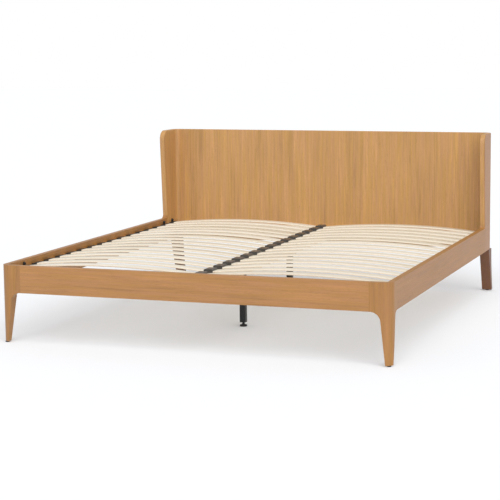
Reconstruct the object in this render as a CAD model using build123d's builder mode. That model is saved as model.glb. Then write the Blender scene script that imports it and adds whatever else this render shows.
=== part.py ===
from build123d import *
from math import asin, cos, sin

# A wooden double bed frame: bent headboard shell with wings, four oak legs, foot and side
# rails, and two rows of bowed birch slats that meet on a centre beam with its own two legs.
# The origin is on the floor under the middle of the bed. +X is the right-hand side seen
# from the foot, +Y points to the headboard and +Z is up. All sizes are in millimetres.

# Overall
bed_width = 1930            # over the outer faces of the side rails
bed_length = 2170           # foot rail's outer face to the tips of the rear legs
headboard_height = 893      # floor to the headboard's top edge
board_thickness = 28        # rails, leg heads and headboard shell
edge_round = 2              # softened long edges of the boards
largest_share = 0.98        # a rounded corner never takes more than this share of its side

# Rails
rail_top = 375
rail_height = 132
cove_radius = 24            # hollow that sweeps a side rail up into the headboard's wing
cove_rise = 16

# Headboard
wing_depth = 182            # back of the headboard to the joint with the side rail
wing_lean = 30              # how far the wing's top reaches over the side rail
wing_corner_radius = 52
bend_radius = 50            # outside of the bend between back and wing
rear_leg_kick = 38          # how far the rear legs reach behind the headboard
cross_rail_height = 72
cross_rail_thickness = 28

# Front legs
leg_arm_x = 106             # head of a front leg, along the foot rail
leg_arm_y = 83              # head of a front leg, along the side rail
leg_root_width = 58         # square of the leg just under its head
leg_foot_width = 32         # square of the leg at the floor
leg_corner_radius = 45
leg_post_rise = 84          # the leg's square post goes this far up inside the head
bracket_radius_x = 50
bracket_radius_y = 26

# Rear legs
rear_leg_width = 53
rear_leg_root_depth = 70
rear_leg_foot_depth = 30
rear_leg_hollow = 9         # how far the rear edge bows in from a straight line
tongue_thickness = 26
tongue_rise = 88

# Glides under the four wooden legs
glide_radius = 9
glide_height = 5
glide_inset = 1.5           # off the middle of a front leg's foot, towards the bed

# Slats
slat_rows = 16
slat_width = 60
slat_thickness = 7
slat_bow = 27
slat_edge_round = 2
slat_side_gap = 6           # slat's outer end to the side rail
slat_middle_gap = 4         # slat's inner end to the middle of the bed
first_slat_gap = 111        # foot rail to the first slat
last_slat_gap = 71          # last slat to the headboard

# Slat caps
cap_seat = 337              # top of the ledgers and of the centre beam
cap_wall = 1.6
cap_reach = 30.5            # side rail to the mouth of a side cap
cap_side_gap = 3.5          # room for a joint plate's ear behind a side cap
pocket_clearance = 0.2
pocket_overcut = 5          # a pocket's cut runs this far out of the cap's mouth
centre_cap_half_width = 23
centre_cap_height = 20
centre_cap_top_half_width = 14
centre_cap_shoulder = 13.5

# Ledgers and centre beam
ledger_width = 26
ledger_height = 30
ledger_start = 62           # from the outer face of the foot rail
ledger_overrun = 6          # past the last slat
beam_width = 44
beam_height = 70

# Hangers that carry the beam's ends
hanger_sheet = 3
hanger_depth = 60
hanger_flange = 22
hanger_fit = 0.3
hanger_top_gap = 4          # beam's top to the hanger's top
hanger_screw_low = 0.3      # heights of the screws, as shares of the beam's height
hanger_screw_high = 0.75
cut_overshoot = 1

# Joint plates
plate_sheet = 3
plate_height = 42
plate_gap = 1               # room between a joint plate and the ledger or leg beside it
ear_width = 22
ear_offset = 16             # an ear stands this far past the middle of a slat
ear_rise = 29               # slat caps' seat to the ear's top
ear_bolt_rise = 20
foot_plate_reach = 75       # along the foot rail, past the leg's head
foot_plate_edge = 14        # from a bolt to the plate's top or bottom edge
foot_bolt_rise = 36         # foot rail's bottom edge to the lower bolts
foot_bolt_spread = 34
notch_clearance = 0.3

# Bolts and screws
bolt_radius = 4
bolt_head_radius = 7.5
bolt_head_height = 5
bolt_head_taper = 12        # degrees
bolt_depth = 22
hole_spare = 1              # a hole is this much deeper than its bolt or screw
socket_radius = 3
socket_depth = 2.5
screw_radius = 2.2
screw_head_radius = 4.2
screw_head_depth = 2.4
screw_length = 42
hole_clearance = 0.05
ledger_screw_count = 8

# Support legs under the centre beam
support_bays = 3            # the two support legs divide the bed's length in three
tube_width = 30
tube_wall = 1.5
tube_bottom = 21
tube_corner = 3
mount_sheet = 3
mount_length = 86           # welded plate on top of the leg, along the beam
mount_bolt_spread = 58
mount_bolt_depth = 32       # bolt's reach into the beam
vent_radius = 2.5           # lets the paint drain out of the tube
vent_drop = 15
nut_height = 6.5
nut_across = 13

# Screw feet of the support legs
stud_radius = 4
stud_top = 62
stud_bottom = 4
locknut_bottom = 12
locknut_height = 5
plug_height = 20
pad_radius = 18.5
pad_height = 11
pad_rim = 7.5
pad_edge = 1                # bevel round the pad's underside
pad_neck = 4                # wall of the pad's neck round the stud
running_clearance = 0.05
pad_seat_gap = 0.3

# Places that follow from the sizes above
half_width = bed_width / 2
foot_face = -bed_length / 2
headboard_back = bed_length / 2 - rear_leg_kick
headboard_front = headboard_back - board_thickness
wing_seam = headboard_back - wing_depth
rail_bottom = rail_top - rail_height
rail_inner = half_width - board_thickness
foot_rail_inner = foot_face + board_thickness
side_rail_start = foot_face + leg_arm_y
first_row = foot_rail_inner + first_slat_gap + slat_width / 2
last_row = headboard_front - last_slat_gap - slat_width / 2
slat_pitch = (last_row - first_row) / (slat_rows - 1)
row_places = [first_row + slat_pitch * row for row in range(slat_rows)]
beam_bottom = cap_seat - beam_height
beam_start = foot_rail_inner + hanger_sheet
cross_rail_front = headboard_front - cross_rail_thickness
beam_end = cross_rail_front - hanger_sheet
support_bay = bed_length / support_bays
support_places = {"front": foot_face + support_bay, "rear": foot_face + 2 * support_bay}
mount_bolt_offsets = (-mount_bolt_spread / 2, mount_bolt_spread / 2)
mount_bottom = beam_bottom - mount_sheet
ledger_inner = rail_inner - ledger_width

# A slat is an arc: its middle line starts and ends at slat_seat and rises by slat_bow
slat_seat = cap_seat + cap_wall + pocket_clearance + slat_thickness / 2
slat_outer_end = rail_inner - slat_side_gap
slat_inner_end = slat_middle_gap
slat_middle = (slat_outer_end + slat_inner_end) / 2
slat_half_chord = (slat_outer_end - slat_inner_end) / 2
slat_radius = (slat_half_chord**2 + slat_bow**2) / (2 * slat_bow)
slat_centre_height = slat_seat + slat_bow - slat_radius

# Ears of the joint plates stand behind the slat caps, against the rails
plate_top = cap_seat - ledger_height - plate_gap
low_bolt_height = plate_top - plate_height / 2
ear_bolt_height = cap_seat + ear_bolt_rise
ear_top = cap_seat + ear_rise
first_ear = foot_face + leg_root_width + ear_width / 2 + plate_gap
front_ears = [first_ear, row_places[0] + ear_offset]
rear_ears = [row_places[-2] + ear_offset, row_places[-1] + ear_offset]
foot_plate_bolts_x = [
    half_width - leg_root_width - ear_width / 2 - plate_gap,
    half_width - leg_arm_x - foot_plate_reach / 2,
]
foot_bolt_low = rail_bottom + foot_bolt_rise
foot_plate_bolts_z = [foot_bolt_low, foot_bolt_low + foot_bolt_spread]

ledger_screw_span = row_places[-3] - row_places[1] - slat_pitch
ledger_screw_places = [
    row_places[1] + slat_pitch / 2 + ledger_screw_span * step / (ledger_screw_count - 1)
    for step in range(ledger_screw_count)
]
ledger_screw_height = cap_seat - ledger_height / 2


def save(piece, name):
    """Labels a finished piece and writes it to its own file."""
    piece.part.label = name
    export_step(piece.part, f"parts/{name}.step")


def keep_side(side):
    """A piece is drawn on the right; the left one is its mirror image."""
    if side == "left":
        mirror(about=Plane.YZ, mode=Mode.REPLACE)


def block(low, high, mode=Mode.ADD):
    """A square block between two opposite corners."""
    size = [top - bottom for bottom, top in zip(low, high)]
    plane = Plane(origin=((low[0] + high[0]) / 2, (low[1] + high[1]) / 2, low[2]))
    with BuildSketch(plane) as base:
        Rectangle(size[0], size[1])
    extrude(base.sketch, amount=size[2], mode=mode)


def round_hole(place, direction, radius, depth):
    """A blind round hole from a place on the surface, along a direction into the wood."""
    with BuildSketch(Plane(origin=place, z_dir=direction)) as mouth:
        Circle(radius)
    extrude(mouth.sketch, amount=depth, mode=Mode.SUBTRACT)


def plate_bolt_places(ears):
    """Heights and places along the bed of the four bolts of one side joint plate."""
    return [(ear, height) for ear in ears for height in (ear_bolt_height, low_bolt_height)]


def slat_band(extra, start, end):
    """The slat's arc as a face, thicker by extra on both sides, between two distances from X = 0."""
    inner = slat_radius - slat_thickness / 2 - extra
    outer = slat_radius + slat_thickness / 2 + extra
    turns = [asin((place - slat_middle) / slat_radius) for place in (start, (start + end) / 2, end)]
    low = [(slat_middle + inner * sin(a), slat_centre_height + inner * cos(a)) for a in turns]
    top = [(slat_middle + outer * sin(a), slat_centre_height + outer * cos(a)) for a in turns]
    with BuildLine() as outline:
        ThreePointArc(*low)
        Line(low[2], top[2])
        ThreePointArc(*reversed(top))
        Line(top[0], low[0])
    make_face(outline.line)


def foot_rail():
    """Oak board between the heads of the two front legs."""
    end = half_width - leg_arm_x
    with BuildPart() as rail:
        block((-end, foot_face, rail_bottom), (end, foot_rail_inner, rail_top))
        fillet(rail.edges().filter_by(Axis.X), radius=edge_round)
        for sign in (-1, 1):
            for height in foot_plate_bolts_z:
                place = (sign * foot_plate_bolts_x[1], foot_rail_inner, height)
                round_hole(place, (0, -1, 0), bolt_radius + hole_clearance, bolt_depth)
        for place_x, height in hanger_screw_places():
            start = (place_x, foot_rail_inner, height)
            depth = screw_length / 2 - hanger_sheet
            round_hole(start, (0, -1, 0), screw_radius + hole_clearance, depth)
    save(rail, "foot_rail")


def side_rail(side):
    """Oak board from a front leg to the headboard's wing, swept up where it meets the wing."""
    cove_run = cove_radius * sin(asin(1) - asin((cove_radius - cove_rise) / cove_radius))
    cove_start = (wing_seam - cove_run, rail_top)
    cove_end = (wing_seam, rail_top + cove_rise)
    half_turn = asin(cove_run / cove_radius) / 2
    cove_middle = (
        cove_start[0] + cove_radius * sin(half_turn),
        rail_top + cove_radius * (1 - cos(half_turn)),
    )
    with BuildPart() as rail:
        with BuildSketch(Plane.YZ.offset(rail_inner)):
            with BuildLine():
                Polyline(
                    cove_end,
                    (wing_seam, rail_bottom),
                    (side_rail_start, rail_bottom),
                    (side_rail_start, rail_top),
                    cove_start,
                )
                ThreePointArc(cove_start, cove_middle, cove_end)
            make_face()
        extrude(amount=board_thickness)
        low_edges = rail.edges().filter_by(Axis.Y).group_by(Axis.Z)[0]
        fillet(low_edges, radius=edge_round)
        for place, height in plate_bolt_places([front_ears[1], rear_ears[0]]):
            start = (rail_inner, place, height)
            round_hole(start, (1, 0, 0), bolt_radius + hole_clearance, bolt_depth)
        for place in ledger_screw_places:
            start = (rail_inner, place, ledger_screw_height)
            depth = screw_length - ledger_width
            round_hole(start, (1, 0, 0), screw_radius + hole_clearance, depth)
        keep_side(side)
    save(rail, f"side_rail_{side}")


def leg_head_profile(arm, bracket_radius, outer, inward):
    """Outline of one arm of a front leg's head with the hollow bracket under it."""
    taper = (leg_root_width - leg_foot_width) / rail_bottom
    skirt = 2 * bracket_radius
    with BuildLine() as outline:
        Polyline(
            (outer, rail_top),
            (outer + inward * arm, rail_top),
            (outer + inward * arm, rail_bottom),
            (outer + inward * leg_root_width, rail_bottom),
            (outer + inward * (leg_root_width - taper * skirt), rail_bottom - skirt),
            (outer, rail_bottom - skirt),
            close=True,
        )
    make_face(outline.line)


def front_leg(side):
    """Solid oak corner: an L-shaped head as thick as the rails and a leg that tapers below it."""
    outer_x = half_width
    post_top = rail_bottom + leg_post_rise
    room_x = (leg_arm_x - leg_root_width) * largest_share
    room_y = (leg_arm_y - leg_root_width) * largest_share
    radius_x = min(bracket_radius_x, room_x)
    radius_y = min(bracket_radius_y, room_y)
    with BuildPart() as leg:
        for height, width in ((glide_height, leg_foot_width), (rail_bottom, leg_root_width)):
            centre = (outer_x - width / 2, foot_face + width / 2, height)
            with BuildSketch(Plane(origin=centre)):
                Rectangle(width, width)
        loft()
        root = outer_x - leg_root_width
        block((root, foot_face, rail_bottom), (outer_x, foot_face + leg_root_width, post_top))
        with BuildSketch(Plane.XZ.offset(-foot_face)) as front:
            leg_head_profile(leg_arm_x, radius_x, outer_x, -1)
            corner = front.vertices().sort_by_distance((root, rail_bottom, 0))[0]
            fillet(corner, radius=radius_x)
        extrude(amount=-board_thickness)
        with BuildSketch(Plane.YZ.offset(outer_x)) as flank:
            leg_head_profile(leg_arm_y, radius_y, foot_face, 1)
            root_y = foot_face + leg_root_width
            corner = flank.vertices().sort_by_distance((root_y, rail_bottom, 0))[0]
            fillet(corner, radius=radius_y)
        extrude(amount=-board_thickness)
        plan_centre = (outer_x - leg_arm_x / 2, foot_face + leg_arm_y / 2)
        with BuildSketch(Plane(origin=plan_centre)) as plan:
            Rectangle(leg_arm_x, leg_arm_y)
            corner = plan.vertices().sort_by_distance((leg_arm_x / 2, -leg_arm_y / 2, 0))[0]
            fillet(corner, radius=leg_corner_radius)
        extrude(amount=rail_top, mode=Mode.INTERSECT)
        for place, height in plate_bolt_places(front_ears[:1]):
            start = (rail_inner, place, height)
            round_hole(start, (1, 0, 0), bolt_radius + hole_clearance, bolt_depth)
        for height in foot_plate_bolts_z:
            start = (foot_plate_bolts_x[0], foot_rail_inner, height)
            round_hole(start, (0, -1, 0), bolt_radius + hole_clearance, bolt_depth)
        keep_side(side)
    save(leg, f"front_leg_{side}")


def rear_leg(side):
    """Raked oak leg under the headboard's corner, with a tongue that stands inside the shell."""
    root_front = headboard_back - rear_leg_root_depth
    foot_rear = headboard_back + rear_leg_kick
    foot_front = foot_rear - rear_leg_foot_depth
    middle_height = (rail_bottom + glide_height) / 2
    hollow = ((headboard_back + foot_rear) / 2 - rear_leg_hollow, middle_height)
    tongue_outer = rail_inner
    tongue_inner = tongue_outer - tongue_thickness
    with BuildPart() as leg:
        with BuildSketch(Plane.YZ.offset(half_width - rear_leg_width)):
            with BuildLine():
                ThreePointArc(
                    (headboard_back, rail_bottom), hollow, (foot_rear, glide_height)
                )
                Polyline(
                    (foot_rear, glide_height),
                    (foot_front, glide_height),
                    (root_front, rail_bottom),
                    (headboard_back, rail_bottom),
                )
            make_face()
        extrude(amount=rear_leg_width)
        middle = ((tongue_inner + tongue_outer) / 2, (root_front + headboard_front) / 2)
        with BuildSketch(Plane(origin=(*middle, rail_bottom))) as tongue:
            Rectangle(tongue_thickness, headboard_front - root_front)
            corner = tongue.vertices().group_by(Axis.Y)[-1].sort_by(Axis.X)[-1]
            room = tongue_thickness * largest_share
            fillet(corner, radius=min(bend_radius - board_thickness, room))
        extrude(amount=tongue_rise)
        keep_side(side)
    save(leg, f"rear_leg_{side}")


def headboard_shell():
    """Bent plywood U: a flat back and two wings whose front edges lean over the side rails."""
    lean_top = wing_seam - wing_lean
    corner_height = rail_top + cove_rise
    depth = headboard_back - lean_top
    plan_centre = (0, (headboard_back + lean_top) / 2, rail_bottom)
    height = headboard_height - rail_bottom
    with BuildPart() as shell:
        with BuildSketch(Plane(origin=plan_centre)) as outline:
            Rectangle(bed_width, depth)
            fillet(outline.vertices().group_by(Axis.Y)[-1], radius=bend_radius)
        extrude(amount=height)
        hollow_centre = (0, (headboard_front + lean_top) / 2, rail_bottom)
        with BuildSketch(Plane(origin=hollow_centre)) as hollow:
            Rectangle(2 * rail_inner, headboard_front - lean_top)
            inside = max(bend_radius - board_thickness, edge_round)
            fillet(hollow.vertices().group_by(Axis.Y)[-1], radius=inside)
        extrude(amount=height, mode=Mode.SUBTRACT)
        with BuildSketch(Plane.YZ) as flank:
            with BuildLine():
                Polyline(
                    (headboard_back, rail_bottom),
                    (wing_seam, rail_bottom),
                    (wing_seam, corner_height),
                    (lean_top, headboard_height),
                    (headboard_back, headboard_height),
                    close=True,
                )
            make_face()
            corner = flank.vertices().sort_by_distance((lean_top, headboard_height, 0))[0]
            fillet(corner, radius=wing_corner_radius)
        extrude(amount=half_width, both=True, mode=Mode.INTERSECT)
        for place, bolt_height in plate_bolt_places(rear_ears[1:]):
            for sign in (-1, 1):
                start = (sign * rail_inner, place, bolt_height)
                round_hole(start, (sign, 0, 0), bolt_radius + hole_clearance, bolt_depth)
    save(shell, "headboard_shell")


def headboard_cross_rail():
    """Pine rail low on the headboard's inside, between the rear legs' tongues."""
    end = rail_inner - tongue_thickness
    low = cap_seat - cross_rail_height
    with BuildPart() as rail:
        block((-end, cross_rail_front, low), (end, headboard_front, cap_seat))
        for place_x, height in hanger_screw_places():
            start = (place_x, cross_rail_front, height)
            depth = screw_length / 2 - hanger_sheet
            round_hole(start, (0, 1, 0), screw_radius + hole_clearance, depth)
    save(rail, "headboard_cross_rail")


def hanger_screw_places():
    """The four screws of a beam hanger, as X and Z."""
    across = beam_width / 2 + hanger_fit + hanger_sheet + hanger_flange / 2
    shares = (hanger_screw_low, hanger_screw_high)
    heights = [beam_bottom + beam_height * share for share in shares]
    return [(sign * across, height) for sign in (-1, 1) for height in heights]


def side_ledger(side):
    """Pine strip inside a side rail that carries the outer slat caps, notched over the ears."""
    start = foot_face + ledger_start
    end = row_places[-1] + slat_width / 2 + ledger_overrun
    low = cap_seat - ledger_height
    half_notch = ear_width / 2 + notch_clearance
    notch_depth = plate_sheet + notch_clearance
    with BuildPart() as ledger:
        block((ledger_inner, start, low), (rail_inner, end, cap_seat))
        for ear in front_ears + rear_ears:
            corner_low = (rail_inner - notch_depth, ear - half_notch, low)
            corner_high = (rail_inner, ear + half_notch, cap_seat)
            block(corner_low, corner_high, mode=Mode.SUBTRACT)
        for place in ledger_screw_places:
            head = (ledger_inner, place, ledger_screw_height)
            round_hole(head, (1, 0, 0), screw_radius + hole_clearance, ledger_width)
            round_hole(head, (1, 0, 0), screw_head_radius + hole_clearance, screw_head_depth)
        keep_side(side)
    save(ledger, f"side_ledger_{side}")


def centre_beam():
    """Pine beam along the middle of the bed, under the centre caps."""
    half = beam_width / 2
    with BuildPart() as beam:
        block((-half, beam_start, beam_bottom), (half, beam_end, cap_seat))
        for place in support_places.values():
            for offset in mount_bolt_offsets:
                start = (0, place + offset, beam_bottom)
                depth = mount_bolt_depth + hole_spare
                round_hole(start, (0, 0, 1), bolt_radius + hole_clearance, depth)
    save(beam, "centre_beam")


def beam_hanger(name, wall, inward):
    """Folded steel stirrup: two screwed flanges, a back and a cradle under the beam's end."""
    inside = beam_width / 2 + hanger_fit
    outside = inside + hanger_sheet
    reach = outside + hanger_flange
    floor_top = beam_bottom
    floor_low = floor_top - hanger_sheet
    high = cap_seat - hanger_top_gap
    back = wall + inward * hanger_sheet
    front = wall + inward * hanger_depth
    with BuildPart() as hanger:
        block((-reach, min(wall, back), floor_low), (reach, max(wall, back), high))
        block((-outside, min(back, front), floor_low), (outside, max(back, front), high))
        mouth = front + inward * cut_overshoot
        cut_low = (-inside, min(back, mouth), floor_top)
        cut_high = (inside, max(back, mouth), high + cut_overshoot)
        block(cut_low, cut_high, mode=Mode.SUBTRACT)
        for place_x, height in hanger_screw_places():
            start = (place_x, back, height)
            round_hole(start, (0, -inward, 0), screw_radius + hole_clearance, hanger_sheet)
    save(hanger, name)


def support_leg(name, place):
    """Black square tube with a welded top plate that bolts up under the centre beam."""
    inner_width = tube_width - 2 * tube_wall
    with BuildPart() as leg:
        with BuildSketch(Plane(origin=(0, place, tube_bottom))):
            RectangleRounded(tube_width, tube_width, tube_corner)
            RectangleRounded(
                inner_width, inner_width, tube_corner - tube_wall, mode=Mode.SUBTRACT
            )
        extrude(amount=mount_bottom - tube_bottom)
        block(
            (-beam_width / 2, place - mount_length / 2, mount_bottom),
            (beam_width / 2, place + mount_length / 2, beam_bottom),
        )
        for offset in mount_bolt_offsets:
            start = (0, place + offset, mount_bottom)
            round_hole(start, (0, 0, 1), bolt_radius + hole_clearance, mount_sheet)
        start = (0, place + inner_width / 2, mount_bottom - vent_drop)
        round_hole(start, (0, 1, 0), vent_radius, tube_wall)
    save(leg, name)


def support_leg_plugs():
    """Threaded plugs pressed into the lower ends of the two support legs."""
    inner_width = tube_width - 2 * tube_wall
    with BuildPart() as plugs:
        for place in support_places.values():
            with BuildSketch(Plane(origin=(0, place, tube_bottom))):
                RectangleRounded(inner_width, inner_width, tube_corner - tube_wall)
                Circle(stud_radius + running_clearance, mode=Mode.SUBTRACT)
            extrude(amount=plug_height)
    save(plugs, "support_leg_plugs")


def foot_stud(name, place):
    """Threaded stud of a screw foot, with its hexagonal locknut."""
    with BuildPart() as stud:
        with BuildSketch(Plane(origin=(0, place, stud_bottom))):
            Circle(stud_radius)
        extrude(amount=stud_top - stud_bottom)
        with BuildSketch(Plane(origin=(0, place, locknut_bottom))):
            RegularPolygon(nut_across / 2, 6, major_radius=False)
        extrude(amount=locknut_height)
    save(stud, name)


def foot_pad(name, place):
    """Round moulded pad that turns on the stud and stands on the floor."""
    bore = stud_radius + running_clearance
    with BuildPart() as pad:
        with BuildSketch(Plane.XZ.offset(-place)):
            with BuildLine():
                Polyline(
                    (0, 0),
                    (pad_radius - pad_edge, 0),
                    (pad_radius, pad_edge),
                    (pad_radius, pad_rim),
                    (bore + pad_neck, pad_height),
                    (bore, pad_height),
                    (bore, stud_bottom - pad_seat_gap),
                    (0, stud_bottom - pad_seat_gap),
                    close=True,
                )
            make_face()
        revolve(axis=Axis((0, place, 0), (0, 0, 1)))
    save(pad, name)


def support_leg_bolts():
    """Hexagon-headed wood screws that hold the support legs up against the beam."""
    with BuildPart() as bolts:
        for place in support_places.values():
            for offset in mount_bolt_offsets:
                with BuildSketch(Plane(origin=(0, place + offset, mount_bottom - nut_height))):
                    RegularPolygon(nut_across / 2, 6, major_radius=False)
                extrude(amount=nut_height)
                with BuildSketch(Plane(origin=(0, place + offset, mount_bottom))):
                    Circle(bolt_radius)
                extrude(amount=mount_sheet + mount_bolt_depth)
    save(bolts, "support_leg_bolts")


def side_plate(sign, ears):
    """One steel plate over the joint of a side rail, with an ear up beside the slats each end."""
    outer = sign * rail_inner
    inner = sign * (rail_inner - plate_sheet)
    low_x = min(outer, inner)
    ends = (min(ears) - ear_width / 2, max(ears) + ear_width / 2)
    with BuildSketch(Plane.YZ.offset(low_x)) as face:
        centre = ((ends[0] + ends[1]) / 2, plate_top - plate_height / 2)
        with Locations(centre):
            Rectangle(ends[1] - ends[0], plate_height)
        for ear in ears:
            shoulder = ear_top - ear_width / 2
            with Locations((ear, (plate_top + shoulder) / 2)):
                Rectangle(ear_width, shoulder - plate_top)
            with Locations((ear, shoulder)):
                Circle(ear_width / 2)
        for ear, height in plate_bolt_places(ears):
            with Locations((ear, height)):
                Circle(bolt_radius + hole_clearance, mode=Mode.SUBTRACT)
    extrude(face.sketch, amount=plate_sheet)


def foot_plate(sign):
    """One steel plate over the joint of the foot rail and a front leg."""
    near = half_width - leg_root_width - plate_gap
    far = half_width - leg_arm_x - foot_plate_reach
    low = foot_plate_bolts_z[0] - foot_plate_edge
    high = foot_plate_bolts_z[1] + foot_plate_edge
    with BuildSketch(Plane.XZ.offset(-foot_rail_inner)) as face:
        with Locations((sign * (near + far) / 2, (low + high) / 2)):
            Rectangle(near - far, high - low)
        for place in foot_plate_bolts_x:
            for height in foot_plate_bolts_z:
                with Locations((sign * place, height)):
                    Circle(bolt_radius + hole_clearance, mode=Mode.SUBTRACT)
    extrude(face.sketch, amount=-plate_sheet)


def joint_plates():
    """The six steel plates that hold rails, legs and headboard together."""
    with BuildPart() as plates:
        for sign in (-1, 1):
            side_plate(sign, front_ears)
            side_plate(sign, rear_ears)
            foot_plate(sign)
    save(plates, "joint_plates")


def bolt(face, outward):
    """A low round-headed bolt with a hexagon socket; face is the point under its head."""
    inward = tuple(-part for part in outward)
    crown = tuple(spot + part * bolt_head_height for spot, part in zip(face, outward))
    with BuildSketch(Plane(origin=face, z_dir=outward)) as head:
        Circle(bolt_head_radius)
    extrude(head.sketch, amount=bolt_head_height, taper=bolt_head_taper)
    with BuildSketch(Plane(origin=face, z_dir=inward)) as shank:
        Circle(bolt_radius)
    extrude(shank.sketch, amount=plate_sheet + bolt_depth - hole_spare)
    with BuildSketch(Plane(origin=crown, z_dir=inward)) as socket:
        RegularPolygon(socket_radius, 6, major_radius=False)
    extrude(socket.sketch, amount=socket_depth, mode=Mode.SUBTRACT)


def joint_bolts():
    """The bolts of the six joint plates."""
    face_x = rail_inner - plate_sheet
    face_y = foot_rail_inner + plate_sheet
    with BuildPart() as bolts:
        for sign in (-1, 1):
            for place, height in plate_bolt_places(front_ears + rear_ears):
                bolt((sign * face_x, place, height), (-sign, 0, 0))
            for place in foot_plate_bolts_x:
                for height in foot_plate_bolts_z:
                    bolt((sign * place, face_y, height), (0, 1, 0))
    save(bolts, "joint_bolts")


def wood_screw(face, inward, length):
    """A flat-headed screw; face is the middle of its head's outer side."""
    with BuildSketch(Plane(origin=face, z_dir=inward)) as head:
        Circle(screw_head_radius)
    extrude(head.sketch, amount=screw_head_depth)
    with BuildSketch(Plane(origin=face, z_dir=inward)) as shank:
        Circle(screw_radius)
    extrude(shank.sketch, amount=length)


def wood_screws():
    """Screws that hold the ledgers to the side rails and the hangers to their boards."""
    hanger_head = hanger_sheet + screw_head_depth
    hanger_length = screw_length / 2 + screw_head_depth - hole_spare
    with BuildPart() as screws:
        for sign in (-1, 1):
            for place in ledger_screw_places:
                face = (sign * ledger_inner, place, ledger_screw_height)
                wood_screw(face, (sign, 0, 0), screw_length - hole_spare)
        for place_x, height in hanger_screw_places():
            foot = (place_x, foot_rail_inner + hanger_head, height)
            wood_screw(foot, (0, -1, 0), hanger_length)
            head = (place_x, cross_rail_front - hanger_head, height)
            wood_screw(head, (0, 1, 0), hanger_length)
    save(screws, "wood_screws")


def leg_glides():
    """Round nail-on glides under the four wooden legs."""
    front_x = half_width - leg_foot_width / 2 - glide_inset
    front_y = foot_face + leg_foot_width / 2 + glide_inset
    rear_x = half_width - rear_leg_width / 2
    rear_y = headboard_back + rear_leg_kick - rear_leg_foot_depth / 2
    with BuildPart() as glides:
        for place_x, place_y in ((front_x, front_y), (rear_x, rear_y)):
            for sign in (-1, 1):
                with BuildSketch(Plane(origin=(sign * place_x, place_y, 0))):
                    Circle(glide_radius)
                extrude(amount=glide_height)
    save(glides, "leg_glides")


def slat(side, row):
    """Bowed birch slat from the side ledger to the centre beam."""
    place = row_places[row]
    with BuildPart() as lath:
        with BuildSketch(Plane.XZ.offset(-(place - slat_width / 2))):
            slat_band(0, slat_inner_end, slat_outer_end)
        extrude(amount=-slat_width)
        long_edges = lath.edges().filter_by(GeomType.CIRCLE)
        fillet(long_edges, radius=slat_edge_round)
        keep_side(side)
    save(lath, f"slat_{side}_{row + 1:02d}")


def side_caps():
    """Plastic caps that hold the slats' outer ends on the ledgers."""
    outer = rail_inner - cap_side_gap
    mouth = rail_inner - cap_reach
    half = slat_width / 2 + cap_wall + pocket_clearance
    base_middle = (outer + mouth) / 2
    with BuildPart() as caps:
        for place in row_places:
            with BuildSketch(Plane.XZ.offset(-(place - half))):
                slat_band(cap_wall + pocket_clearance, mouth, outer)
                with Locations(((outer + base_middle) / 2, cap_seat + slat_thickness / 2)):
                    Rectangle(outer - base_middle, slat_thickness)
                with Locations(((outer + mouth) / 2, cap_seat + cap_reach)):
                    Rectangle(outer - mouth, 2 * cap_reach, mode=Mode.INTERSECT)
            extrude(amount=-2 * half)
            slat_front = place - slat_width / 2 - pocket_clearance
            with BuildSketch(Plane.XZ.offset(-slat_front)):
                pocket_mouth = mouth - pocket_overcut
                slat_band(pocket_clearance, pocket_mouth, slat_outer_end + pocket_clearance)
            extrude(amount=-(slat_width + 2 * pocket_clearance), mode=Mode.SUBTRACT)
        mirror(about=Plane.YZ)
    save(caps, "side_caps")


def centre_caps():
    """Double plastic caps on the beam; each holds the inner ends of a left and a right slat."""
    half = slat_width / 2 + cap_wall + pocket_clearance
    width = centre_cap_half_width
    top = centre_cap_top_half_width
    with BuildPart() as caps:
        for place in row_places:
            with BuildSketch(Plane.XZ.offset(-(place - half))):
                with BuildLine():
                    Polyline(
                        (-width, cap_seat),
                        (width, cap_seat),
                        (width, cap_seat + centre_cap_shoulder),
                        (top, cap_seat + centre_cap_height),
                        (-top, cap_seat + centre_cap_height),
                        (-width, cap_seat + centre_cap_shoulder),
                        close=True,
                    )
                make_face()
            extrude(amount=-2 * half)
            slat_front = place - slat_width / 2 - pocket_clearance
            with BuildSketch(Plane.XZ.offset(-slat_front)) as pocket:
                pocket_mouth = width + pocket_overcut
                slat_band(pocket_clearance, slat_inner_end - pocket_clearance, pocket_mouth)
                mirror(about=Plane.YZ)
            extrude(amount=-(slat_width + 2 * pocket_clearance), mode=Mode.SUBTRACT)
    save(caps, "centre_caps")


foot_rail()
headboard_shell()
headboard_cross_rail()
for side in ("left", "right"):
    side_rail(side)
    front_leg(side)
    rear_leg(side)
    side_ledger(side)
    for row in range(slat_rows):
        slat(side, row)
side_caps()
centre_caps()
centre_beam()
beam_hanger("beam_hanger_foot", foot_rail_inner, 1)
beam_hanger("beam_hanger_head", cross_rail_front, -1)
for end, place in support_places.items():
    support_leg(f"support_leg_{end}", place)
    foot_stud(f"foot_stud_{end}", place)
    foot_pad(f"foot_pad_{end}", place)
support_leg_plugs()
support_leg_bolts()
joint_plates()
joint_bolts()
wood_screws()
leg_glides()
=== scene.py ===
# %% [markdown]
# # A wooden bed frame
#
# The measured model of the bed comes first: every board, slat, cap and screw, in metres, with
# the origin on the floor under the middle of the bed. +Y points to the headboard, +X is the
# right-hand side seen from the foot, +Z is up. This lesson gives the model its looks: the oak,
# the birch, the softened edges and the moulded caps. It never moves a measured part. A part is
# either given a better finish, or replaced by a finer piece of the same size.

# %% Load the measured model
from math import asin, pi, radians, sin, tan

import bmesh
import bpy
from mathutils import Matrix, Vector


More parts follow.
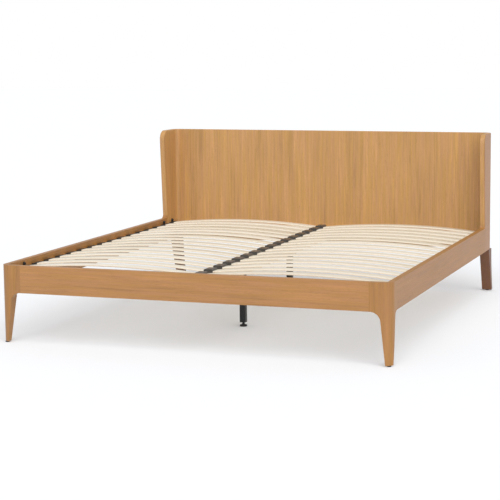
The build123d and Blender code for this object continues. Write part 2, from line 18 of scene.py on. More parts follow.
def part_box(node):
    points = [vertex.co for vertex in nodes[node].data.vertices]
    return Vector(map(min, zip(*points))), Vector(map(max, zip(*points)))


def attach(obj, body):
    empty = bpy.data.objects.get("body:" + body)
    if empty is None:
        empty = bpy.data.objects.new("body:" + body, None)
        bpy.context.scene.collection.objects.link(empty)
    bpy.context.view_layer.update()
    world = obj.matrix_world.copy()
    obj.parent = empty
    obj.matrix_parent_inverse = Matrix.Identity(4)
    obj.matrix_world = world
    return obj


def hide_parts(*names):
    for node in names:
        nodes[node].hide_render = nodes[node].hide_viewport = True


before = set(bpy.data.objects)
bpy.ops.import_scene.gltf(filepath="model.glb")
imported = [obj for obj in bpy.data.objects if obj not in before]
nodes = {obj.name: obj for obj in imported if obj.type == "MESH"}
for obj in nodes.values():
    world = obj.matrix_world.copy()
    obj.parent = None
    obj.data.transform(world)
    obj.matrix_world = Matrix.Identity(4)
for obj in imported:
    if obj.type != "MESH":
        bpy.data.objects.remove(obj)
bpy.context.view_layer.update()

# %% [markdown]
# ## The camera
#
# A product view of a whole bed is taken from far off with a long lens, so that the boards stay
# nearly parallel. The camera stands beyond the foot end, to the right, a little above the
# headboard's height, and looks slightly down. It is turned in three steps, as a tripod head is:
# yaw, then pitch, then a trace of roll.

# %% Set up the camera
eye = Vector((2.708, -7.540, 1.460))
yaw = radians(20.392)
pitch = radians(7.974)
roll = radians(-0.645)
camera_data = bpy.data.cameras.new("camera")
camera_data.sensor_width = 36
camera_data.lens = 111.87
camera = bpy.data.objects.new("camera", camera_data)
bpy.context.scene.collection.objects.link(camera)
turn = Matrix.Rotation(yaw, 4, "Z") @ Matrix.Rotation(pi / 2 - pitch, 4, "X")
camera.matrix_world = Matrix.Translation(eye) @ turn @ Matrix.Rotation(roll, 4, "Z")
bpy.context.scene.camera = camera
print("camera", [round(v, 3) for v in eye], "lens", camera_data.lens)

# %% [markdown]
# ## Light and floor
#
# A studio for furniture is a white room: light comes from everywhere, and one wide soft light
# from above and in front, a little to the right, gives the boards their modelling. A sun
# lamp with a wide angle does this evenly over the whole bed, which a square lamp near the bed
# would not. The walls light the bed a little less than they shine into the lens, so that the
# shade under the bed keeps its depth in front of a pure white background.

# %% Light the studio
scene = bpy.context.scene
scene.view_settings.view_transform = "Standard"
world = bpy.data.worlds.new("white_room")
world.use_nodes = True
room = world.node_tree.nodes["Background"]
room.inputs["Color"].default_value = (1.0, 1.0, 1.0, 1.0)
room_light = 0.70
ray = world.node_tree.nodes.new("ShaderNodeLightPath")
strength = world.node_tree.nodes.new("ShaderNodeMath")
strength.operation = "MAXIMUM"
strength.inputs[1].default_value = room_light
world.node_tree.links.new(ray.outputs["Is Camera Ray"], strength.inputs[0])
world.node_tree.links.new(strength.outputs[0], room.inputs["Strength"])
scene.world = world

sun_data = bpy.data.lights.new("soft_light", "SUN")
sun_data.energy = 2.2
sun_data.angle = radians(70)
sun = bpy.data.objects.new("soft_light", sun_data)
scene.collection.objects.link(sun)
towards_light = Vector((0.72, -1.26, 1.42))
sun.rotation_euler = towards_light.to_track_quat("Z", "Y").to_euler()
print("room", room_light, "sun", round(sun_data.energy, 2), "from", [round(v, 2) for v in towards_light])

# %% [markdown]
# ## Writing a finish
#
# Wood grain is arithmetic on places: stretch space along the grain, ask a noise for a value, and
# turn that value into a colour. Written as separate nodes the arithmetic is hard to read. So
# one small class stands for a value on its way through the nodes, and the usual signs add the
# Math nodes. Every other node is added by one method of the finish.

# %% Values and finishes
class Value:
    """A number on its way through a finish. Arithmetic on it adds Math nodes."""

    def __init__(self, finish, socket):
        self.finish = finish
        self.socket = socket

    def math(self, operation, *others):
        sockets = dict(enumerate((self, *others)))
        return self.finish.add("Math", {"operation": operation}, sockets)

    def __add__(self, other):
        return self.math("ADD", other)

    def __sub__(self, other):
        return self.math("SUBTRACT", other)

    def __rsub__(self, other):
        return self * -1 + other

    def __mul__(self, other):
        return self.math("MULTIPLY", other)

    def __truediv__(self, other):
        return self.math("DIVIDE", other)

    __radd__ = __add__
    __rmul__ = __mul__


class Finish:
    """One material, with its Principled shader and the nodes that feed it."""

    def __init__(self, name):
        self.material = bpy.data.materials.new(name)
        self.material.use_nodes = True
        self.tree = self.material.node_tree
        self.shader = self.tree.nodes["Principled BSDF"]

    def add(self, kind, settings=None, sockets=None, output=0):
        """Adds a node: its settings first, then a value or a link for each socket."""
        node = self.tree.nodes.new("ShaderNode" + kind)
        for name, setting in (settings or {}).items():
            if name == "stops":
                self.set_stops(node.color_ramp, setting)
            else:
                setattr(node, name, setting)
        for name, value in (sockets or {}).items():
            self.feed(node.inputs[name], value)
        return Value(self, node.outputs[output])

    def set_stops(self, ramp, stops):
        """Puts a colour at each place of a ramp."""
        while len(ramp.elements) < len(stops):
            ramp.elements.new(1.0)
        for element, (place, colour) in zip(ramp.elements, stops):
            element.position = place
            element.color = (*colour, 1.0)

    def feed(self, socket, value):
        """Gives a socket a link or a fixed value."""
        if isinstance(value, Value):
            self.tree.links.new(value.socket, socket)
        else:
            socket.default_value = value

    def surface(self, **values):
        """Feeds the shader; base_color stands for the socket Base Color."""
        for name, value in values.items():
            title = name.replace("_", " ").title()
            self.feed(self.shader.inputs[title], value)

    def blend(self, amount, first, second):
        """Mixes two colours."""
        settings = {"data_type": "RGBA"}
        return self.add("Mix", settings, {"Factor": amount, 6: first, 7: second}, output=2)

    def place(self, stretch, shift=(0, 0, 0)):
        """The place on the piece, stretched along its grain."""
        coordinates = self.add("TexCoord", output="Object")
        sockets = {"Vector": coordinates, "Scale": stretch, "Location": shift}
        return self.add("Mapping", {}, sockets)

    def coordinate(self, axis):
        """One coordinate of the place on the piece."""
        return self.add("SeparateXYZ", {}, {0: self.place((1, 1, 1))}, output=axis)

    def noise(self, place, size, detail=2.0, roughness=0.5, distortion=0.0):
        """A smooth noise from 0 to 1 whose features are about size metres across."""
        sockets = {"Vector": place, "Scale": 1 / size, "Detail": detail}
        sockets.update({"Roughness": roughness, "Distortion": distortion})
        return self.add("TexNoise", {}, sockets)

    def step_up(self, value, start, end):
        """0 below start, 1 above end, and a smooth rise between."""
        settings = {"interpolation_type": "SMOOTHSTEP"}
        return self.add("MapRange", settings, {"Value": value, "From Min": start, "From Max": end})

    def bump(self, height, distance, strength=1.0):
        """Turns a height from 0 to 1 into a relief of that depth in metres."""
        sockets = {"Height": height, "Distance": distance, "Strength": strength}
        self.feed(self.shader.inputs["Normal"], self.add("Bump", {}, sockets, output="Normal"))


print("finish tools ready")

# %% [markdown]
# ## Oak
#
# Oak has three scales of figure. Broad bands, as wide as a hand, are the growth of years. Narrow
# lines, a few millimetres apart, are single years. Open pores are hair-thin dashes along the
# grain, darker than the wood and sunk into it. All three are noises that are stretched along
# the grain, each with its own stretch. A fourth noise turns the hue from yellow to rosy in long
# flecks, because no board has one hue. The lacquer is satin: it fills the pores halfway, so the
# wood between them shines a little more. A veneered face is laid in leaves, and each leaf is a
# touch lighter or darker than the next. The parts take different tints of the one oak: lit and
# shaded copies, which paint light and shade, and the rear legs' dark tint is painted shade.

# %% Mix the oak
GRAIN_ALONG = {"X": Vector((1, 0, 0)), "Y": Vector((0, 1, 0)), "Z": Vector((0, 0, 1))}


def stretch_along(axis, amount):
    """Scales for a pattern that is stretched by an amount along one axis."""
    along = GRAIN_ALONG[axis]
    return tuple(1 + part * (1 / amount - 1) for part in along)


def tinted(colour, share):
    """A colour made darker or lighter by a share."""
    return tuple(part * share for part in colour)


def oak(name, axis, colour, leaf_width=None):
    """Satin oak with its grain along one axis; leaves are the strips of a veneered face."""
    finish = Finish(name)
    bands = finish.noise(finish.place(stretch_along(axis, 9)), 0.075, 3.0, 0.55, 0.8)
    streaks = finish.noise(finish.place(stretch_along(axis, 30), (5, 2, 7)), 0.011, 4.0, 0.65, 0.3)
    years = finish.noise(finish.place(stretch_along(axis, 40)), 0.007, 4.0, 0.65, 0.2)
    pores = finish.noise(finish.place(stretch_along(axis, 26)), 0.0011, 2.0, 0.5)
    pore = finish.step_up(pores, 0.62, 0.7)
    flecks = finish.noise(finish.place(stretch_along(axis, 24), (3, 1, 2)), 0.014, 4.0, 0.65)
    tone = bands * 0.25 + streaks * 0.42 + years * 0.33
    if leaf_width:
        across = finish.coordinate("X") + finish.coordinate("Y")
        leaf = (across / leaf_width).math("FLOOR")
        shade = finish.add("TexWhiteNoise", {"noise_dimensions": "1D"}, {"W": leaf})
        tone = tone + shade * 0.05 - 0.025
    ramp = {"stops": [
        (0.36, tinted(colour, 0.74)),
        (0.46, tinted(colour, 0.92)),
        (0.54, colour),
        (0.64, tinted(colour, 1.16)),
    ]}
    wood = finish.add("ValToRGB", ramp, {"Fac": tone}, output="Color")
    dark = (*tinted(colour, 0.55), 1.0)
    grained = finish.blend(pore * 0.55, wood, dark)
    yellow = (0.99, 0.995, 0.84, 1.0)
    rosy = (1.015, 1.00, 1.13, 1.0)
    hue = finish.blend(finish.step_up(flecks, 0.36, 0.64), yellow, rosy)
    tinting = {"data_type": "RGBA", "blend_type": "MULTIPLY"}
    dyed = finish.add("Mix", tinting, {"Factor": 1.0, 6: grained, 7: hue}, output=2)
    finish.surface(base_color=dyed, roughness=0.40 + pore * 0.2 + years * 0.08)
    finish.bump(1 - pore * 0.8 - years * 0.2, 0.00012, 0.6)
    print("oak", name, "grain along", axis)
    return finish.material


# Lit and shaded copies of one oak: the headboard's tint is the lightest, the rails and legs are painted
# darker, and the rear legs' near-black tint is painted shade.
headboard_oak = oak("oak_headboard", "Z", (0.497, 0.268, 0.096), leaf_width=0.128)
wing_oak_painted_shade = oak("oak_wing_painted_shade", "Z", (0.368, 0.178, 0.072))
leg_oak = oak("oak_leg", "Z", (0.350, 0.166, 0.048))
rear_oak_painted_shade = oak("oak_rear_leg_painted_shade", "Z", (0.160, 0.064, 0.028))
foot_oak = oak("oak_foot_rail", "X", (0.395, 0.190, 0.063))
side_oak_painted_shade = oak("oak_side_rail_painted_shade", "Y", (0.345, 0.158, 0.043))

# %% [markdown]
# ## Pine and birch
#
# The beam and the ledgers are planed pine with wide soft year bands, pale, and paler still as
# painted light that lifts the beam where it lies in shade between the caps. The slats are bent
# birch ply. A birch face is almost without figure, so each slat gets its own slight
# tint, as slats from different sheets have. The long edges show the plies: thin layers, light
# and dark in turn, that follow the bow of the slat.

# %% Mix the pine and the birch
def pine(name, axis):
    """Planed pine with wide bands and a dull surface."""
    finish = Finish(name)
    bands = finish.noise(finish.place(stretch_along(axis, 14)), 0.018, 3.0, 0.5, 0.6)
    fibres = finish.noise(finish.place(stretch_along(axis, 30)), 0.0015, 2.0)
    # The pale ramp is partly the pine's own colour and partly painted light on the shaded beam.
    ramp = {"stops": [
        (0.35, (0.76, 0.62, 0.43)),
        (0.5, (0.85, 0.73, 0.55)),
        (0.7, (0.90, 0.81, 0.66)),
    ]}
    wood = finish.add("ValToRGB", ramp, {"Fac": bands * 0.8 + fibres * 0.2}, output="Color")
    finish.surface(base_color=wood, roughness=0.55 + fibres * 0.15)
    finish.bump(fibres, 0.0001, 0.5)
    print("pine", name)
    return finish.material


def slat_number(finish, pitch):
    """A whole number that is the same all over one slat and different on the next."""
    side = finish.coordinate("X").math("GREATER_THAN", 0.0)
    right_hand_numbers = 31.0
    return (finish.coordinate("Y") / pitch).math("FLOOR") + side * right_hand_numbers


def birch(name, pitch):
    """The face veneer of a slat."""
    finish = Finish(name)
    grain = finish.noise(finish.place(stretch_along("X", 25)), 0.004, 3.0, 0.6, 0.2)
    clouds = finish.noise(finish.place(stretch_along("X", 5)), 0.05, 2.0, 0.5)
    tint = finish.add("TexWhiteNoise", {"noise_dimensions": "1D"}, {"W": slat_number(finish, pitch)})
    tone = grain * 0.4 + clouds * 0.35 + tint * 0.25
    ramp = {"stops": [
        (0.3, (0.60, 0.52, 0.40)),
        (0.5, (0.71, 0.645, 0.53)),
        (0.7, (0.78, 0.73, 0.645)),
    ]}
    wood = finish.add("ValToRGB", ramp, {"Fac": tone}, output="Color")
    finish.surface(base_color=wood, roughness=0.36 + grain * 0.14)
    finish.bump(grain, 0.00008, 0.4)
    return finish.material


pine_along_y = pine("pine_along_bed", "Y")
pine_along_x = pine("pine_across_bed", "X")

# %% [markdown]
# ## Plastic and steel
#
# The caps are moulded polypropylene with a fine spark texture, the kind that takes a soft
# sheen. The centre caps take a lighter grey than the side caps: painted sheen on their tops.
# The support legs and the joint plates are powder coated, which gives a skin like very
# fine orange peel. Screws and hangers are zinc plated: a bright metal with cloudy crystals.

# %% Mix the black plastic, the powder coat and the zinc
def moulded_plastic(name, colour, roughness, texture_size):
    """Dull moulded plastic with a fine texture."""
    finish = Finish(name)
    place = finish.place((1, 1, 1))
    texture = finish.noise(place, texture_size, 2.0)
    wear = finish.noise(place, 0.02, 3.0)
    finish.surface(base_color=finish.blend(wear * 0.5, (*colour, 1), (*tinted(colour, 1.8), 1)))
    finish.surface(roughness=roughness + wear * 0.12)
    finish.bump(texture, 0.00006, 0.5)
    return finish.material


def powder_coat(name):
    """Black paint with a fine orange peel."""
    finish = Finish(name)
    place = finish.place((1, 1, 1))
    peel = finish.noise(place, 0.0012, 1.0)
    dust = finish.noise(place, 0.05, 3.0)
    black = finish.blend(dust, (0.004, 0.004, 0.004, 1), (0.009, 0.009, 0.010, 1))
    finish.surface(base_color=black, roughness=0.38 + dust * 0.15)
    finish.bump(peel, 0.00008, 0.6)
    return finish.material


def zinc(name):
    """Zinc plating with cloudy patches."""
    finish = Finish(name)
    place = finish.place((1, 1, 1))
    cloud = finish.noise(place, 0.008, 3.0, 0.6)
    colour = finish.blend(cloud, (0.50, 0.50, 0.49, 1), (0.68, 0.68, 0.66, 1))
    finish.surface(base_color=colour, metallic=1.0, roughness=0.26 + cloud * 0.2)
    finish.bump(cloud, 0.00004, 0.4)
    return finish.material


cap_black = moulded_plastic("plastic_caps", (0.020, 0.019, 0.018), 0.36, 0.0006)
# The centre caps' lighter grey is painted sheen; the side caps keep the plain black.
centre_caps_painted_sheen = moulded_plastic("plastic_centre_caps_painted_sheen", (0.046, 0.042, 0.039), 0.30, 0.0006)
foot_black = moulded_plastic("plastic_feet", (0.013, 0.013, 0.013), 0.45, 0.0009)
steel_black = powder_coat("powder_coat")
steel_zinc = zinc("zinc_plate")
print("materials", len(bpy.data.materials))

# %% [markdown]
# ## Tools for modelling
#
# The operators of edit mode act on what is selected, so each step first selects faces or
# vertices by where they are. A finished piece keeps its place in its mesh, and its object stays
# at the origin. Then it rides on a body of the model. Rounded edges could leave slivers where
# two roundings meet, so vertices that coincide are welded.

# %% Tools for modelling
def only(piece):
    """Selects one piece and nothing else."""
    bpy.ops.object.select_all(action="DESELECT")
    piece.select_set(True)
    bpy.context.view_layer.objects.active = piece


def settle(piece, name):
    """Names a new primitive and moves its place into its mesh."""
    only(piece)
    piece.name = piece.data.name = name
    bpy.ops.object.transform_apply(location=True, rotation=True, scale=True)
    return piece


def block(name, low, high):
    """A block between two corners, added at its size and place."""
    bpy.ops.object.select_all(action="DESELECT")
    middle = [(a + b) / 2 for a, b in zip(low, high)]
    bpy.ops.mesh.primitive_cube_add(size=1, location=middle)
    piece = bpy.context.object
    piece.scale = [b - a for a, b in zip(low, high)]
    return settle(piece, name)


def extent(piece):
    """Lowest and highest corner of a piece, for printing."""
    return [round(v, 4) for v in (*piece.bound_box[0], *piece.bound_box[6])]


def edit(piece):
    """Opens edit mode on one piece."""
    only(piece)
    bpy.ops.object.mode_set(mode="EDIT")


def done():
    """Closes edit mode."""
    bpy.ops.object.mode_set(mode="OBJECT")


def pick(piece, kind, wanted):
    """In edit mode, selects the faces or vertices that pass a test on their place and normal."""
    bpy.ops.mesh.select_mode(type=kind)
    bpy.ops.mesh.select_all(action="DESELECT")
    mesh = bmesh.from_edit_mesh(piece.data)
    for part in mesh.faces if kind == "FACE" else mesh.verts:
        place = part.calc_center_median() if kind == "FACE" else part.co
        part.select_set(bool(wanted(place, part.normal)))
    mesh.select_flush_mode()
    bmesh.update_edit_mesh(piece.data)


def push(x=0.0, y=0.0, z=0.0):
    """Extrudes what is selected and moves it."""
    bpy.ops.mesh.extrude_region_move(TRANSFORM_OT_translate={"value": (x, y, z)})


def apply_modifier(piece, kind, **settings):
    """Adds one modifier and applies it."""
    only(piece)
    modifier = piece.modifiers.new(kind.lower(), kind)
    for name, setting in settings.items():
        setattr(modifier, name, setting)
    bpy.ops.object.modifier_apply(modifier=modifier.name)


def soften(piece, width, segments=3, sharp=35):
    """Rounds the sharp edges and smooths the shading between flat faces."""
    settings = {"limit_method": "ANGLE", "angle_limit": radians(sharp), "segments": segments}
    apply_modifier(piece, "BEVEL", width=width, **settings)
    apply_modifier(piece, "WELD", merge_threshold=0.000003)
    only(piece)
    bpy.ops.object.shade_smooth_by_angle(angle=radians(sharp))
    apply_modifier(piece, "WEIGHTED_NORMAL", keep_sharp=True)


def finish_piece(piece, body, slot, *materials, stands_for=()):
    """Gives a piece its materials, its body and the nodes that it stands for; slot is not used."""
    piece.data.materials.clear()
    for material in materials:
        piece.data.materials.append(material)
    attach(piece, body)
    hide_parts(*stands_for)
    print(piece.name, "faces", len(piece.data.polygons))


print("modelling tools ready")

# %% [markdown]
# ## The headboard
#
# The headboard is one sheet of veneered ply, bent round at both ends, so it is modelled as a
# sheet: the flat back is a plane, each bend is that plane's end edge spun a quarter turn, and
# each wing is extruded forwards. The wing's front edge stands straight behind the rail and
# then leans over it, with a generous round corner on top. Last, the sheet is given its thickness
# inwards and its edges are softened. The outer faces of the wings take a darker copy of the
# same oak: painted shade.

# %% Bend the headboard
shell_low, shell_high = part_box("headboard_shell")
rail_low, rail_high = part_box("side_rail_right")
board = rail_high.x - rail_low.x
bend_radius = 0.050
wing_lean = 0.030
corner_radius = 0.052
sheet_round = 0.0028
seam = rail_high.y
lean_start = rail_high.z
back = shell_high.y
flat_end = shell_high.x - bend_radius
near = 0.0002
hairline = 0.00001

bpy.ops.object.select_all(action="DESELECT")
middle_height = (shell_low.z + shell_high.z) / 2
bpy.ops.mesh.primitive_plane_add(size=1, location=(0, back, middle_height), rotation=(-pi / 2, 0, 0))
headboard = bpy.context.object
headboard.scale = (2 * flat_end, shell_high.z - shell_low.z, 1)
settle(headboard, "headboard")
edit(headboard)
for side in (1, -1):
    pick(headboard, "VERT", lambda place, normal: place.x * side > flat_end - near)
    pivot = (side * flat_end, back - bend_radius, 0)
    bpy.ops.mesh.spin(steps=16, angle=side * pi / 2, center=pivot, axis=(0, 0, 1))
    push(y=seam - (back - bend_radius))
bpy.ops.mesh.select_all(action="SELECT")
bpy.ops.mesh.bisect(plane_co=(0, 0, lean_start), plane_no=(0, 0, 1))
pick(headboard, "VERT", lambda place, normal: place.y < seam + near and place.z > shell_high.z - near)
bpy.ops.transform.translate(value=(0, -wing_lean, 0))
corner_angle = pi / 2 - asin(wing_lean / (shell_high.z - lean_start))
setback = corner_radius / tan(corner_angle / 2)
bpy.ops.mesh.bevel(offset=setback, segments=12, affect="VERTICES")
bpy.ops.mesh.select_all(action="SELECT")
bpy.ops.mesh.normals_make_consistent(inside=False)
done()
if max(headboard.data.polygons, key=lambda face: face.area).normal.y < 0:
    edit(headboard)
    bpy.ops.mesh.select_all(action="SELECT")
    bpy.ops.mesh.flip_normals()
    done()
apply_modifier(headboard, "SOLIDIFY", thickness=board, offset=-1, use_even_offset=True)
soften(headboard, sheet_round, 3)
finish_piece(
    headboard, "frame", "oak_veneer", headboard_oak, wing_oak_painted_shade, stands_for=["headboard_shell"])
skin_depth = board / 8
# The outer faces of the wings take the darker copy of the oak: painted shade.
for face in headboard.data.polygons:
    face.material_index = 1 if abs(face.center.x) > shell_high.x - skin_depth else 0
print("headboard box", extent(headboard), "model", shell_low, shell_high)

# %% [markdown]
# ## Rails, legs and beams
#
# These boards are already true in the measured model, but their edges are as sharp as a saw
# leaves them. A copy of each is merged into one skin, its flat faces are joined, and its edges
# get the small round that a cabinet maker sands on. The hardware is treated the same way with a
# smaller round.

# %% Soften the boards and the hardware
def softened(node, width, segments=3):
    """A copy of a measured part with merged faces and rounded edges."""
    piece = nodes[node].copy()
    piece.data = nodes[node].data.copy()
    piece.parent = None
    for key in list(piece.keys()):
        del piece[key]
    scene.collection.objects.link(piece)
    settle(piece, node + "_finished")
    edit(piece)
    bpy.ops.mesh.select_all(action="SELECT")
    bpy.ops.mesh.remove_doubles(threshold=hairline)
    bpy.ops.mesh.dissolve_limited(angle_limit=radians(0.5))
    done()
    soften(piece, width, segments)
    return piece


board_round = 0.0016
boards = {
    "foot_rail": (foot_oak, "oak_rail"),
    # The side rails take a darker copy of the oak: painted shade on faces turned to the light.
    "side_rail_left": (side_oak_painted_shade, "oak_rail"),
    "side_rail_right": (side_oak_painted_shade, "oak_rail"),
    "front_leg_left": (leg_oak, "oak_leg"),
    "front_leg_right": (leg_oak, "oak_leg"),
    # The rear legs take the darkest copy of the oak: painted shade.
    "rear_leg_left": (rear_oak_painted_shade, "oak_leg"),
    "rear_leg_right": (rear_oak_painted_shade, "oak_leg"),
    "headboard_cross_rail": (pine_along_x, "pine"),
    "side_ledger_left": (pine_along_y, "pine"),
    "side_ledger_right": (pine_along_y, "pine"),
    "centre_beam": (pine_along_y, "pine"),
}
for node, (material, slot) in boards.items():
    piece = softened(node, board_round)
    finish_piece(piece, "frame", slot, material, stands_for=[node])

hardware_round = 0.0004
hardware = {
    "joint_plates": (steel_black, "black_steel", "frame"),
    "support_leg_front": (steel_black, "black_steel", "frame"),
    "support_leg_rear": (steel_black, "black_steel", "frame"),
    "beam_hanger_foot": (steel_zinc, "zinc_steel", "frame"),
    "beam_hanger_head": (steel_zinc, "zinc_steel", "frame"),
    "foot_pad_front": (foot_black, "foot_plastic", "front_pad"),
    "foot_pad_rear": (foot_black, "foot_plastic", "rear_pad"),
    "foot_stud_front": (steel_black, "black_steel", "front_screw"),
    "foot_stud_rear": (steel_black, "black_steel", "rear_screw"),
}
for node, (material, slot, body) in hardware.items():
    piece = softened(node, hardware_round, 2)
    finish_piece(piece, body, slot, material, stands_for=[node])

# %% [markdown]
# ## Small parts that stay
#
# Screws, bolts and plugs have their right shape already, and they are hidden or tiny. They stay
# as they are and only take the finish of their metal or plastic.

# %% Give the small parts their finish
kept = {
    "joint_bolts": steel_black,
    "wood_screws": steel_zinc,
    "support_leg_bolts": steel_zinc,
    "support_leg_plugs": foot_black,
}
for node, material in kept.items():
    nodes[node].material_slots[0].material = material
    print(node, "takes", material.name)

# %% [markdown]
# ## The slats
#
# Each slat is a strip of birch ply bent to a shallow arc. The arc follows from three numbers:
# the length of its chord, its rise and its thickness. A strip's cross-section is drawn at one
# end, its corners rounded, and spun about the centre of the arc, which lies nearly four metres
# below. The hollow strip is closed at both ends. One slat is made, and the others are
# copies of it, mirrored for the left side.

# %% Bend one slat
slat_low, slat_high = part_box("slat_right_01")
next_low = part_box("slat_right_02")[0]
slat_pitch = next_low.y - slat_low.y
slat_rows = sum(name.startswith("slat_right_") for name in nodes)
slat_thickness = 0.007
slat_corner = 0.0018
slat_bow = 0.027
ply_count = 7
half_steps = 20
slat_inner_end = 0.004
slat_side_gap = 0.006
slat_outer_end = rail_low.x - slat_side_gap
slat_middle = (slat_inner_end + slat_outer_end) / 2
half_chord = (slat_outer_end - slat_inner_end) / 2
slat_radius = (half_chord**2 + slat_bow**2) / (2 * slat_bow)
arc_centre = slat_high.z - slat_thickness / 2 - slat_radius
half_turn = asin(half_chord / slat_radius)
slat_place = (slat_low.y + slat_high.y) / 2
slat_width = slat_high.y - slat_low.y

bpy.ops.object.select_all(action="DESELECT")
crown = (slat_middle, slat_place, arc_centre + slat_radius)
bpy.ops.mesh.primitive_plane_add(size=1, location=crown, rotation=(0, pi / 2, 0))
slat = bpy.context.object
slat.scale = (slat_thickness, slat_width, 1)
settle(slat, "slat")
edit(slat)
bpy.ops.mesh.select_all(action="SELECT")
bpy.ops.mesh.bevel(offset=slat_corner, segments=3, affect="VERTICES")
bpy.ops.mesh.select_all(action="SELECT")
bpy.ops.mesh.delete(type="ONLY_FACE")
bpy.ops.mesh.select_all(action="SELECT")
pivot = Vector((slat_middle, slat_place, arc_centre))
bpy.ops.mesh.spin(steps=half_steps, angle=half_turn, center=pivot, axis=(0, 1, 0))
pick(slat, "VERT", lambda place, normal: abs(place.x - slat_middle) < near)
bpy.ops.mesh.spin(steps=half_steps, angle=-half_turn, center=pivot, axis=(0, 1, 0))
bpy.ops.mesh.select_all(action="SELECT")
bpy.ops.mesh.remove_doubles(threshold=hairline)
bpy.ops.mesh.fill_holes(sides=0)
bpy.ops.mesh.select_all(action="SELECT")
bpy.ops.mesh.normals_make_consistent(inside=False)
done()
only(slat)
bpy.ops.object.shade_smooth_by_angle(angle=radians(40))
print("slat box", extent(slat), "model", slat_low, slat_high)


# %% [markdown]
# ## The slats' edges
#
# A long edge shows the ply as it is built: thin layers, each as far from the centre of the arc all
# along the slat. So the layer at a point follows from its distance to that centre. A striped
# picture would show straight layers; this way they bend with the slat.

# %% Show the plies on the slats' long edges
def birch_edge(name):
    """The sawn edge of bent ply: layers that follow the arc."""
    finish = Finish(name)
    from_middle = finish.coordinate("X").math("ABSOLUTE") - slat_middle
    rise = finish.coordinate("Z") - arc_centre
    reach = (from_middle * from_middle + rise * rise).math("SQRT")
    layer = (reach - (slat_radius - slat_thickness / 2)) / (slat_thickness / ply_count)
    dark_layer = (layer * 0.5).math("FRACT").math("GREATER_THAN", 0.5)
    fibres = finish.noise(finish.place(stretch_along("X", 12)), 0.0008, 2.0)
    light = (0.88, 0.80, 0.67, 1)
    dark = (0.72, 0.61, 0.46, 1)
    mixed = finish.blend(dark_layer * 0.6 + fibres * 0.35, light, dark)
    finish.surface(base_color=mixed, roughness=0.6 + fibres * 0.2)
    finish.bump(fibres, 0.0001, 0.6)
    return finish.material


slat_face = birch("birch_face", slat_pitch)
slat_edge = birch_edge("birch_edge")
slat.data.materials.append(slat_face)
slat.data.materials.append(slat_edge)
for face in slat.data.polygons:
    face.material_index = 1 if abs(face.normal.y) > 0.7 else 0
print("slat edge faces", sum(face.material_index for face in slat.data.polygons))

# %% [markdown]
# ## The rows of slats
#
# All slats come from one mould, so they are copies: each row is one pitch further along the bed,
# and the left side is the mirror image of the right. A mirrored mesh is inside out, so its normals
# are made to point outwards again. Every slat stays a piece of its own.

# %% Copy the slat to its rows
for side, sign in (("right", 1), ("left", -1)):
    for row in range(slat_rows):
        lath = slat.copy()
        lath.data = slat.data.copy()
        scene.collection.objects.link(lath)
        lath.location.y = row * slat_pitch
        lath.scale.x = sign
        name = f"slat_{side}_{row + 1:02d}"
        settle(lath, name + "_birch")
        if sign < 0:
            edit(lath)
            bpy.ops.mesh.select_all(action="SELECT")
            bpy.ops.mesh.normals_make_consistent(inside=False)
            done()
        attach(lath, "frame")
        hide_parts(name)
bpy.data.objects.remove(slat)
print("slats", 2 * slat_rows)

# %% [markdown]
# ## The side caps
#
# A side cap is a small box with a pocket: the slat slides into it, so its top and its pocket
# slope with the end of the slat, with a small clearance all round. One is modelled from a block:
# its top is raised at the mouth, the mouth is inset by the wall and pushed in as far as the slat
# reaches. An array repeats it along the bed, and a mirror gives the other side.

# %% Mould the side caps
caps_low, caps_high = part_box("side_caps")
cap_wall = 0.0016
pocket_clearance = 0.0002
cap_round = 0.0006
cap_outer = caps_high.x
cap_reach = 0.0305
cap_mouth = rail_low.x - cap_reach
cap_half = slat_width / 2 + cap_wall + pocket_clearance
cap_seat = caps_low.z
cap_top = cap_seat + slat_thickness + 2 * (cap_wall + pocket_clearance)
pocket_end = slat_high.x + pocket_clearance
pocket_drop = sin(half_turn) * (pocket_end - cap_mouth)

low = (cap_mouth, slat_place - cap_half, cap_seat)
side_caps = block("side_caps_moulded", low, (cap_outer, slat_place + cap_half, cap_top))
edit(side_caps)
pick(side_caps, "VERT", lambda place, normal: place.x < cap_mouth + near and place.z > cap_top - near)
bpy.ops.transform.translate(value=(0, 0, caps_high.z - cap_top))
pick(side_caps, "FACE", lambda place, normal: normal.x < -0.9)
bpy.ops.mesh.inset(thickness=cap_wall)
bpy.ops.mesh.select_mode(type="FACE")
push(x=pocket_end - cap_mouth)
half_height = (cap_seat + cap_top) / 2
pick(side_caps, "VERT", lambda place, normal: abs(place.x - pocket_end) < near and place.z > half_height)
bpy.ops.transform.translate(value=(0, 0, -pocket_drop))
done()
apply_modifier(
    side_caps, "ARRAY", count=slat_rows, use_relative_offset=False,
    use_constant_offset=True, constant_offset_displace=(0, slat_pitch, 0),
)
soften(side_caps, cap_round, 3)
apply_modifier(side_caps, "MIRROR", use_axis=(True, False, False))
finish_piece(side_caps, "frame", "cap_plastic", cap_black, stands_for=["side_caps"])
print("side caps box", extent(side_caps), "model", caps_low, caps_high)

# %% [markdown]
# ## The centre caps
#
# A centre cap holds two slats back to back under a rounded hood, and it lies on the mirror plane
# of the bed. It begins as a block whose two long top edges are rounded. Then both side walls
# are inset and pushed in, which leaves a pocket on each side and a rib between them.

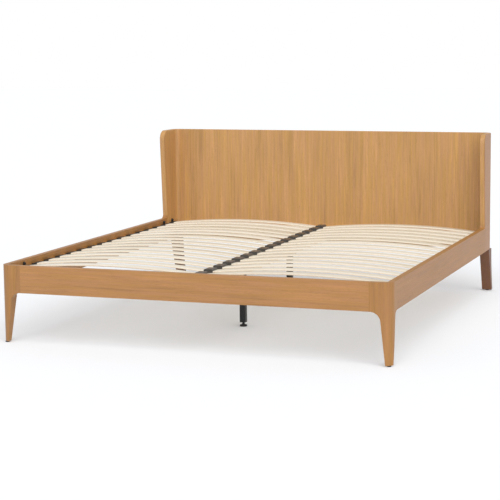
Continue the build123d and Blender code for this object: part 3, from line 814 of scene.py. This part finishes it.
# %% Mould the centre caps
hood_low, hood_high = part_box("centre_caps")
hood_round = 0.0065
wall_middle = (hood_low.z + hood_high.z - hood_round) / 2
low = (hood_low.x, slat_place - cap_half, hood_low.z)
centre_caps = block("centre_caps_moulded", low, (hood_high.x, slat_place + cap_half, hood_high.z))
edit(centre_caps)
bpy.ops.mesh.select_mode(type="EDGE")
bpy.ops.mesh.select_all(action="DESELECT")
mesh = bmesh.from_edit_mesh(centre_caps.data)
for edge in mesh.edges:
    first, second = (vertex.co for vertex in edge.verts)
    on_top = min(first.z, second.z) > hood_high.z - near
    edge.select_set(on_top and abs(first.x - second.x) < near)
bmesh.update_edit_mesh(centre_caps.data)
bpy.ops.mesh.bevel(offset=hood_round, segments=6, affect="EDGES")
pick(centre_caps, "FACE", lambda place, normal: abs(normal.x) > 0.999)
bpy.ops.mesh.inset(thickness=cap_wall, use_individual=True)
wall_centre = Vector((hood_high.x, slat_place, wall_middle))
pocket_depth = hood_high.x - slat_low.x + pocket_clearance
for sign in (1, -1):
    pick(
        centre_caps, "FACE",
        lambda place, normal: (place - wall_centre * Vector((sign, 1, 1))).length < near,
    )
    push(x=-sign * pocket_depth)
done()
apply_modifier(
    centre_caps, "ARRAY", count=slat_rows, use_relative_offset=False,
    use_constant_offset=True, constant_offset_displace=(0, slat_pitch, 0),
)
soften(centre_caps, cap_round, 2, sharp=40)
# The centre caps take the lighter grey copy of the black plastic: painted sheen.
finish_piece(centre_caps, "frame", "cap_plastic", centre_caps_painted_sheen, stands_for=["centre_caps"])
print("centre caps box", extent(centre_caps), "model", hood_low, hood_high)

# %% [markdown]
# ## The glides
#
# Each wooden leg stands on a nailed plastic glide: a button with a rounded rim and a small
# dimple for the nail's head.

# %% Turn the glides
glides_low, glides_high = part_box("leg_glides")
rear_leg_low, rear_leg_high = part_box("rear_leg_right")
glide_radius = 0.009
dimple_wall = 0.0052
dimple_depth = 0.0018
glide_round = 0.0007
glide_height = glides_high.z - glides_low.z
glide_spots = {
    "front": (glides_high.x - glide_radius, glides_low.y + glide_radius),
    "rear": ((rear_leg_low.x + rear_leg_high.x) / 2, glides_high.y - glide_radius),
}
turned = []
for end_name, (x, y) in glide_spots.items():
    bpy.ops.object.select_all(action="DESELECT")
    middle = (x, y, (glides_low.z + glides_high.z) / 2)
    bpy.ops.mesh.primitive_cylinder_add(
        vertices=48, radius=glide_radius, depth=glide_height, location=middle)
    turned.append(settle(bpy.context.object, "glide_" + end_name))
only(turned[0])
turned[1].select_set(True)
bpy.ops.object.join()
glides = bpy.context.object
glides.name = glides.data.name = "leg_glides_turned"
edit(glides)
pick(glides, "FACE", lambda place, normal: normal.z < -0.9)
bpy.ops.mesh.inset(thickness=dimple_wall, use_individual=True)
push(z=dimple_depth)
done()
soften(glides, glide_round, 3)
apply_modifier(glides, "MIRROR", use_axis=(True, False, False))
finish_piece(glides, "frame", "foot_plastic", foot_black, stands_for=["leg_glides"])
print("glides box", extent(glides), "model", glides_low, glides_high)

# %% [markdown]
# ## The floor
#
# The floor is a stage piece: it catches the shadow and is no part of the bed. It is a shade
# cooler than white, so that the warm light which the oak throws under the bed comes out grey.

# %% Lay the floor
bpy.ops.object.select_all(action="DESELECT")
bpy.ops.mesh.primitive_plane_add(size=60, location=(0, 0, 0))
floor = settle(bpy.context.object, "floor")
paper = Finish("floor_paper")
paper.surface(base_color=(0.85, 0.87, 0.90, 1), roughness=0.9)
floor.data.materials.append(paper.material)
print("floor", round(floor.dimensions.x, 1), "m wide")
